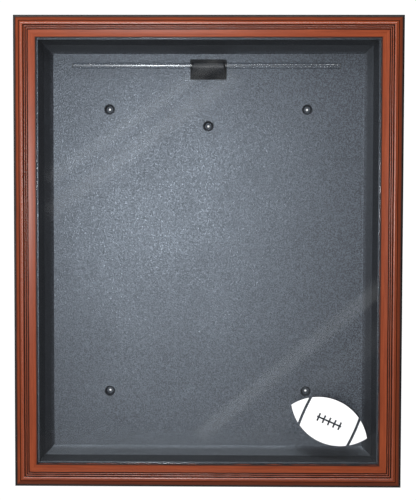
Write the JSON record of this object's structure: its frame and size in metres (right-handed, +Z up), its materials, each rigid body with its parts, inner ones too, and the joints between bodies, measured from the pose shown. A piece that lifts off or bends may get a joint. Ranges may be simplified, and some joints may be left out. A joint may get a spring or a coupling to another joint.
{
  "type": "jersey display frame",
  "caption": "Wall-hung jersey display frame: a lift-off wood and clear acrylic face over a recessed black tray with a clear hanging rod.",
  "frame": {"origin": "centre of the rectangle of the four outer wall-screw holes, on the wall plane", "axes": "+X to the right seen from the front, +Y into the wall, +Z up"},
  "size_m": [0.8762, 0.0762, 1.0668],
  "materials": {
    "mahogany": "mahogany stain, dark glaze in the grooves, satin lacquer",
    "clear_acrylic": "clear and polished",
    "clear_rod": "clear, saw-cut ends",
    "white_film": "printed white film",
    "black_sheet": "pebbled thermoformed sheet",
    "black_moulded": "satin moulded plastic",
    "black_strip": "matt extruded strip",
    "nickel": "nickel plated",
    "bright_steel": "zinc plated",
    "aluminium": "mill finish"
  },
  "bodies": {
    "tray": {"back_tray": "black_sheet", "strike_plates": "bright_steel", "strike_rivets": "aluminium", "rod_hanger": "black_moulded", "hanger_screws": "bright_steel"},
    "face": {"frame_rail_top": "mahogany", "frame_rail_bottom": "mahogany", "frame_stile_left": "mahogany", "frame_stile_right": "mahogany", "glazing_bead_top": "black_strip", "glazing_bead_right": "black_strip", "glazing_bead_bottom": "black_strip", "glazing_bead_left": "black_strip", "corner_v_nails": "bright_steel", "acrylic_face": "clear_acrylic", "corner_emblem": "white_film", "face_magnets": "nickel", "magnet_screws": "bright_steel"},
    "rod": {"hanging_rod": "clear_rod"}
  },
  "joints": [
    {"name": "face_lift_off", "type": "slide", "parent": "tray", "child": "face", "axis": [0, -1, 0], "range_m": [0, 0.15]},
    {"name": "rod_lift_out", "type": "slide", "parent": "tray", "child": "rod", "axis": [0, 0, 1], "range_m": [0, 0.02]}
  ]
}
